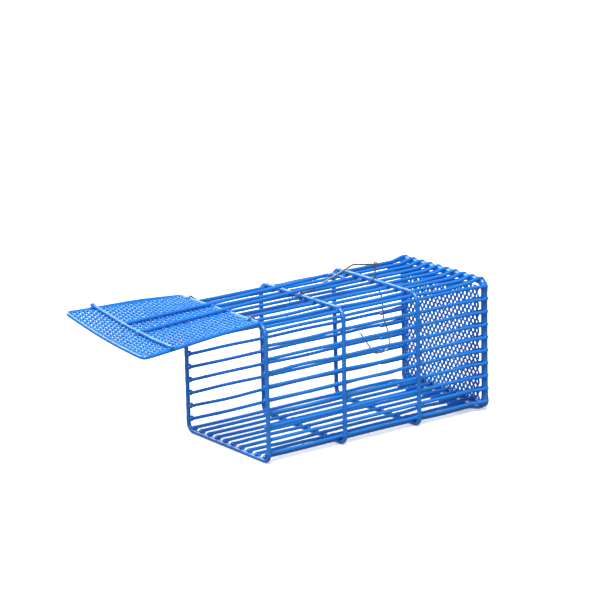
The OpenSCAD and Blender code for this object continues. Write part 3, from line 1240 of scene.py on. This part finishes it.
@dataclass
class Door:
    """The spring door: frame wire, expanded mesh, cross bar and lever."""

    plane: DoorPlane
    finishes: Finishes
    mesh: ExpandedMesh = ExpandedMesh(per_pitch=12)
    corner_r: float = 0.0036
    bar_at: float = 0.77
    bar_r: float = 0.0015
    knob_r: float = 0.0017
    on_frame: float = 0.0028
    weld: float = 0.00022
    web_arm: float = 0.0046
    web: float = 0.0011
    web_sink: float = 0.55
    ring_y: float = 0.0455
    ring_clear: float = 0.0034
    cut_back: float = 0.0052
    seed: int = 41

    def build(self) -> None:
        """Make the four pieces of the door."""
        hand = HandWork(self.seed)
        rows = (
            ("door_frame_wire", self.frame_wire(hand), Slot.COATED_WIRE, "door_frame"),
            ("door_expanded_mesh", self.panel(), Slot.COATED_MESH, "door_mesh"),
            ("door_cross_bar_wire", self.cross_bar(hand), Slot.COATED_WIRE, "door_cross_bar"),
            ("door_lever_wire", self.lever(hand), Slot.COATED_WIRE, "door_lever"),
        )
        for name, surface, slot, node in rows:
            surface.piece(name, "door", slot, self.finishes, [node])

    def frame_wire(self, hand: HandWork) -> Surface:
        """The frame: a rectangle with round corners in the door's plane, which then takes the twist.

        Round the free edge and the sides the mesh is folded over the wire, which shows as a low ridge for
        each strand: the radius gains a small |sin| wave at half the mesh's pitch.

        Args:
            hand: the door's random unevenness.

        Returns:
            The frame's surface.
        """
        plane = self.plane
        half, length = plane.half_span, plane.length
        ring = [(0, 0, 0), (0, half, 0), (length, half, 0), (length, -half, 0), (0, -half, 0), (0, 0, 0)]
        route = Route.bent(ring, [self.corner_r] * 4, 12)
        along = stations(route.length, 0.0013)[:-1]
        flat = route.at(along)
        away = flat[:, 0] / length
        held = [0, length * self.bar_at, length * 1.01]
        sway = hand.bow(flat[:, 0], held, 0.0006) * (np.abs(flat[:, 1]) > half * 0.9)
        centre = plane.spot(flat[:, 0], flat[:, 1], -sway)
        sides = 14
        radius = hand.coat(along, plane.wire_r, sides, 0.03)
        pitch = np.where(away > 0.97, self.mesh.short_pitch, self.mesh.long_pitch) / 2
        folded = np.clip((away - 0.03) / 0.05, 0, 1)
        ridges = 0.00013 * np.abs(np.sin(np.pi * along / pitch)) * folded
        radius = radius * (1 - 0.03 * folded[:, None]) + ridges[:, None]
        return tube(centre, radius, plane.up, sides, closed=True, pool=0.3)

    def panel(self) -> Surface:
        """The expanded mesh, with its strands along the door, cut back round the hinge rings."""
        plane, mesh = self.plane, self.mesh
        margin = plane.wire_r * 0.7
        width = 2 * (plane.half_span - margin)
        length = plane.length - margin
        count = int(width / (mesh.short_pitch / 2))
        across = (np.arange(count + 1) - count / 2) * mesh.short_pitch / 2
        beside_ring = np.abs(np.abs(across) - self.ring_y) < self.ring_clear
        starts = np.where(beside_ring, self.cut_back, margin)
        parts = []
        for along, y, out, radius in mesh.strands(length, width, starts, seed=53):
            centre = plane.spot(along, y, out)
            parts.append(tube(centre, radius, Y_AXIS, mesh.sides, pool=mesh.pool(along)))
        return Surface.joined(parts)

    def cross_bar(self, hand: HandWork) -> Surface:
        """The bar across the door, welded on top of the side wires, with a knob at each end.

        Args:
            hand: the door's random unevenness.

        Returns:
            The bar's surface.
        """
        plane = self.plane
        half = plane.half_span + plane.wire_r
        near, far = half - 0.004, half - 0.006
        runs = ((-half, -near, 9), (-far, far, 46), (near, half, 9))
        y = np.concatenate([np.linspace(*run) for run in runs])
        along = plane.length * self.bar_at + hand.bow(y, [-half, -0.012, 0.012, half], 0.0004)
        centre = plane.spot(along, y, self.on_frame)
        knob = (self.knob_r - self.bar_r) * (hills(y, [-half + 0.0006, half - 0.0006], 0.0016))
        welds = self.weld * hills(y, [-plane.half_span, -0.0115, 0.0115, plane.half_span], 0.0025)
        radius = hand.coat(y + half, self.bar_r, 14) + (knob + welds)[:, None]
        return tube(centre, radius, X_AXIS, 14, pool=np.clip(4000 * welds, 0, 1))

    def lever(self, hand: HandWork) -> Surface:
        """The long U of wire from the cross bar over the hinge and the roof.

        Webs of coating lie at its four welds and where the cross bar meets the frame.

        Args:
            hand: the door's random unevenness.

        Returns:
            The lever's surface, with the webs.
        """
        plane = self.plane
        low, high = box_of("door_lever")
        half = float(high[1] - low[1]) / 2 - self.bar_r
        bar = plane.length * self.bar_at
        reach = float(high[0] - plane.hinge[0]) / math.cos(plane.droop) - self.bar_r - 0.0001
        corners = [(bar, half, 0), (-reach, half, 0), (-reach, -half, 0), (bar, -half, 0)]
        route = Route.bent(corners, [0.006, 0.006])
        bends = [route.length / 2 - half, route.length / 2 + half]
        along = stations(route.length, 0.002, bends, 0.008, 0.0008)
        flat = route.at(along)
        wander = hand.bow(flat[:, 0], [-reach, -0.06, 0.0, bar], 0.0004) * (np.abs(flat[:, 1]) > half * 0.95)
        centre = plane.spot(flat[:, 0], flat[:, 1] + wander, self.on_frame)
        swell = self.weld * hills(flat[:, 0], [bar, 0.0], 0.0022)
        radius = hand.coat(along, self.bar_r, 14) + swell[:, None]
        lengthwise = plane.spot(-1, 0, 0, 0) - plane.spot(0, 0, 0, 0)
        sunk = self.on_frame * self.web_sink
        welds = [(bar, half, self.on_frame), (0.0, half, sunk), (bar, plane.half_span, sunk)]
        parts = [tube(centre, radius, plane.up, 14, pool=0.2)]
        for place, y, above in welds:
            for side in (-y, y):
                middle = plane.spot(place, side, above)
                parts.append(fillet(middle, lengthwise, Y_AXIS, plane.up, self.web_arm, self.web))
        return Surface.joined(parts)


# ---------------------------------------------------------------- mechanism

@dataclass
class ClosingSpring:
    """The coil spring: an eye round the second hoop, the coil with its leads, and the tip in the door."""

    door: DoorPlane
    finishes: Finishes
    wire_r: float = 0.0005
    outer_r: float = 0.003
    clearance: float = 0.0003
    eye_y: float = 0.0118864
    pitch: float = 0.0028
    front_gap: float = 0.012
    rear_gap: float = 0.010
    anchor: float = 0.096
    sag: float = 0.0092
    lead: float = 0.0078
    bend_r: float = 0.003
    keep: float = 0.7174

    def build(self) -> None:
        """Make the eye, the coil and the tip, which rides on the door."""
        pivot = pivot_of("spring_pivot")
        low, high = box_of("closing_spring")
        eye = pivot + np.array([0, self.eye_y, 0])
        eye_r = bar_radius("front_middle_hoop") + self.clearance + self.wire_r
        ring = loop_round(eye, eye_r)
        tube(ring, self.wire_r, Y_AXIS, 10, closed=True).piece(
            "closing_spring_eye", "closing_spring", Slot.SPRING_STEEL, self.finishes)

        y, z = float(high[1]) - self.outer_r, float(low[2]) + self.outer_r
        rear = np.array([eye[0] - self.rear_gap, y, z])
        front = self.door.spot(self.anchor - self.front_gap, 0, 0, 0)
        front = np.array([front[0], float(low[1]) + self.outer_r, front[2] - self.sag])
        coil = tube(self.coil_line(eye, eye_r, rear, front), self.wire_r, np.array([0.3, 0.9, 0.3]), 8)
        made = coil.piece("closing_spring_coil", "closing_spring", Slot.SPRING_STEEL, self.finishes,
                          ["closing_spring"])
        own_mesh(made)

        hook = Route.bent([
            self.door.spot(self.anchor, 0, -0.0006),
            self.door.spot(self.anchor, 0, 0.0030),
            self.door.spot(self.anchor + 0.0006, -0.0014, 0.0048),
        ], [0.002])
        tube(hook.at(stations(hook.length, 0.0004)), self.wire_r, X_AXIS, 10).piece(
            "closing_spring_tip", "door", Slot.SPRING_STEEL, self.finishes)

    def coil_line(self, eye: Array, eye_r: float, rear: Array, front: Array) -> Array:
        """The spring's line from the eye to the door's mesh.

        The coil goes from rear to front with radius R (cos, sin) square to its axis. R grows from 0 and
        shrinks to 0 over the first and last turn by smoothstep, so that the leads leave along the axis.

        Args:
            eye: middle of the ring round the hoop.
            eye_r: the ring's radius.
            rear: the coil's rear end.
            front: its front end.

        Returns:
            The line's points.
        """
        axis = unit((front - rear)[None])[0]
        first = unit(np.cross(axis, Z_AXIS)[None])[0]
        second = np.cross(axis, first)
        length = float(np.linalg.norm(front - rear))
        turns = length / self.pitch
        t = np.linspace(0, 1, int(turns * 18))
        grow = np.clip(np.minimum(t, 1 - t) * turns / 0.9, 0, 1)
        radius = (self.outer_r - self.wire_r) * grow ** 2 * (3 - 2 * grow)
        angle = 2 * np.pi * turns * t
        coil = (rear + np.outer(t * length, axis) + (radius * np.cos(angle))[:, None] * first
                + (radius * np.sin(angle))[:, None] * second)
        below = eye - np.array([0, 0, eye_r])
        drop = below - np.array([0.0035, 0, 0.0045])
        lead = Route.bent([below, drop, rear - axis * self.bend_r, rear], [self.bend_r, self.bend_r])
        end = Route.bent([
            front,
            front + axis * self.lead,
            self.door.spot(self.anchor, 0, -0.003),
            self.door.spot(self.anchor, 0, 0.0),
        ], [self.bend_r, 0.001])
        return np.concatenate([
            lead.at(stations(lead.length, 0.0005))[:-1], coil, end.at(stations(end.length, 0.0005))[1:],
        ])


@dataclass
class LatchRod:
    """The steel rod that holds the lever down: a loop round the second hoop and an arm with two bends."""

    finishes: Finishes
    wire_r: float = 0.00085
    clearance: float = 0.0003
    foot: tuple[float, float] = (0.013, 0.00365)
    knee: tuple[float, float] = (0.0563, 0.0183)
    tip: tuple[float, float] = (0.0845, 0.0140)
    leaves_at: float = 50.0

    def build(self) -> None:
        """Make the rod from its loop and its arm."""
        eye = pivot_of("latch_rod_pivot")
        eye_r = bar_radius("front_middle_hoop") + self.clearance + self.wire_r
        ring = loop_round(eye, eye_r)
        leaves = math.radians(self.leaves_at)

        def spot(place: tuple[float, float]) -> Array:
            """A point beside the loop, in the rod's own upright plane."""
            return eye + np.array([place[0], 0, place[1]])

        arm = Route.bent([
            spot((eye_r * math.cos(leaves), eye_r * math.sin(leaves))),
            spot(self.foot), spot(self.knee), spot(self.tip),
        ], [0.012, 0.009])
        along = stations(arm.length, 0.0015, [0.05], 0.02, 0.0008)
        parts = [
            tube(ring, self.wire_r, Y_AXIS, 12, closed=True),
            tube(arm.at(along), self.wire_r, Y_AXIS, 12),
        ]
        rod = Surface.joined(parts)
        rod.piece("latch_rod_wire", "latch_rod", Slot.STEEL_WIRE, self.finishes, ["latch_rod"])


@dataclass
class BaitHook:
    """The bait hook: a loop round the third hoop, a catch over the rod and a long hooked leg."""

    finishes: Finishes
    wire_r: float = 0.00065
    clearance: float = 0.0003
    leaves_at: float = 35.0
    catch_x: float = 0.0015
    catch_l: float = 0.0034
    leg: tuple[tuple[float, float], ...] = (
        (0.0085, 0.1045), (0.0105, 0.083), (0.016, 0.069),
        (0.0165, 0.053), (-0.0005, 0.053), (-0.0151, 0.0743))
    leg_radii: tuple[float, ...] = (0.010, 0.010, 0.010, 0.0075, 0.0075)

    def build(self) -> None:
        """Make the hook. Its catch reaches over the rod, to the top of the CAD node's box."""
        eye = pivot_of("bait_hook_pivot")
        low, high = box_of("bait_hook")
        side = float(high[1]) - self.wire_r
        top = float(high[2]) - self.wire_r
        eye_r = bar_radius("rear_middle_hoop") + self.clearance + self.wire_r
        leaves = math.radians(self.leaves_at)
        beside, above = eye_r * math.cos(leaves), eye_r * math.sin(leaves)
        ring = loop_round(eye + side * Y_AXIS, eye_r)
        x = float(eye[0])
        catch = Route.bent([
            (x + beside, side, eye[2] + above), (x + self.catch_x, side, top),
            (x + self.catch_x, -side, top), (x + self.catch_x, -side, top - self.catch_l),
        ], [side, side])
        leg = Route.bent(
            [(x + beside, side, eye[2] - above)] + [(x + dx, side, z) for dx, z in self.leg], self.leg_radii)
        skew = np.array([0.8, 0.6, 0.0])
        parts = [tube(ring, self.wire_r, Y_AXIS, 10, closed=True)]
        for route, step in ((catch, 0.0004), (leg, 0.0010)):
            parts.append(tube(route.at(stations(route.length, step)), self.wire_r, skew, 12))
        hook = Surface.joined(parts)
        hook.piece("bait_hook_wire", "bait_hook", Slot.STEEL_WIRE, self.finishes, ["bait_hook"])


# ---------------------------------------------------------------- studio

@dataclass
class Studio:
    """Floor, lights and camera."""

    azimuth: float = -35.70
    elevation: float = 14.78
    roll: float = -1.45
    distance: float = 2.34
    aim: tuple[float, float, float] = (0.0303, 0.0161, 0.1114)
    lens: float = 162.1
    floor_half: float = 6.0
    sun_from: tuple[float, float, float] = (-0.25, -0.30, 1.0)
    sun_strength: float = 3.5
    sun_width: float = 26.0
    sky_strength: float = 0.33
    softboxes: tuple[tuple[Any, ...], ...] = (
        ("left_fill", (-1.9, -1.2, 1.1), (0, 0, 0.06), 1.0, 9.0),
        ("back_rim", (-0.1, 1.6, 1.3), (0, 0, 0.08), 1.3, 26.0),
    )

    def build(self) -> None:
        """Make everything that isn't the object."""
        self.camera()
        self.floor()
        self.sky()
        self.sun()
        for row in self.softboxes:
            self.softbox(*row)
        bpy.context.scene.view_settings.view_transform = "Standard"

    def camera(self) -> None:
        """A long lens that looks at the aim from the stated angle, turned by the roll."""
        a, e, roll = (math.radians(v) for v in (self.azimuth, self.elevation, self.roll))
        back = Vector((math.sin(a) * math.cos(e), -math.cos(a) * math.cos(e), math.sin(e)))
        right = (-back).cross(Vector(Z_AXIS)).normalized()
        up = right.cross(-back)
        across = math.cos(roll) * right + math.sin(roll) * up
        upright = -math.sin(roll) * right + math.cos(roll) * up
        place = Vector(self.aim) + back * self.distance
        lens = bpy.data.cameras.new("camera")
        lens.lens, lens.sensor_width = self.lens, 36.0
        lens.clip_start, lens.clip_end = 0.05, 60.0
        made = placed("camera", lens)
        turn = Matrix((across, upright, back)).transposed().to_4x4()
        made.matrix_world = Matrix.Translation(place) @ turn
        bpy.context.scene.camera = made

    def floor(self) -> None:
        """A wide flat square under the object."""
        mesh = bpy.data.meshes.new("floor")
        h = self.floor_half
        mesh.from_pydata([(-h, -h, 0), (h, -h, 0), (h, h, 0), (-h, h, 0)], [], [(0, 1, 2, 3)])
        mesh.materials.append(PaleFloor().material())
        made = placed("floor", mesh)
        made.visible_diffuse = made.visible_glossy = False

    def sky(self) -> None:
        """Even white light from all round."""
        world = bpy.data.worlds.new("white_room")
        world.use_nodes = True
        shade = world.node_tree.nodes["Background"]
        shade.inputs["Color"].default_value = (1.0, 1.0, 1.0, 1.0)
        shade.inputs["Strength"].default_value = self.sky_strength
        bpy.context.scene.world = world

    def sun(self) -> None:
        """A broad even light from above, a little from the camera's side."""
        light = bpy.data.lights.new("overhead", "SUN")
        light.energy, light.angle = self.sun_strength, math.radians(self.sun_width)
        made = placed("overhead", light)
        made.rotation_euler = (-Vector(self.sun_from)).to_track_quat("-Z", "Y").to_euler()

    def softbox(self, name: str, place: Sequence[float], target: Sequence[float], size: float,
                power: float) -> None:
        """A square light that faces a target.

        Args:
            name: the light's name.
            place: where it stands.
            target: what it faces.
            size: its side.
            power: its power in watts.
        """
        light = bpy.data.lights.new(name, "AREA")
        light.size, light.energy = size, power
        made = placed(name, light)
        made.location = place
        made.rotation_euler = (Vector(target) - Vector(place)).to_track_quat("-Z", "Y").to_euler()


def main() -> None:
    """Build the looks in order."""
    logging.basicConfig(level=logging.INFO, format="%(message)s")
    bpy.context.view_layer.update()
    Studio().build()
    finishes = Finishes()
    sizes = CageSizes()
    plane = DoorPlane()
    LongWires(sizes, finishes).build()
    Hoops(sizes, finishes).build()
    RearPanel(finishes).build()
    HingeRings(finishes).build()
    Door(plane, finishes).build()
    ClosingSpring(plane, finishes).build()
    LatchRod(finishes).build()
    BaitHook(finishes).build()


if __name__ == "__main__":
    main()
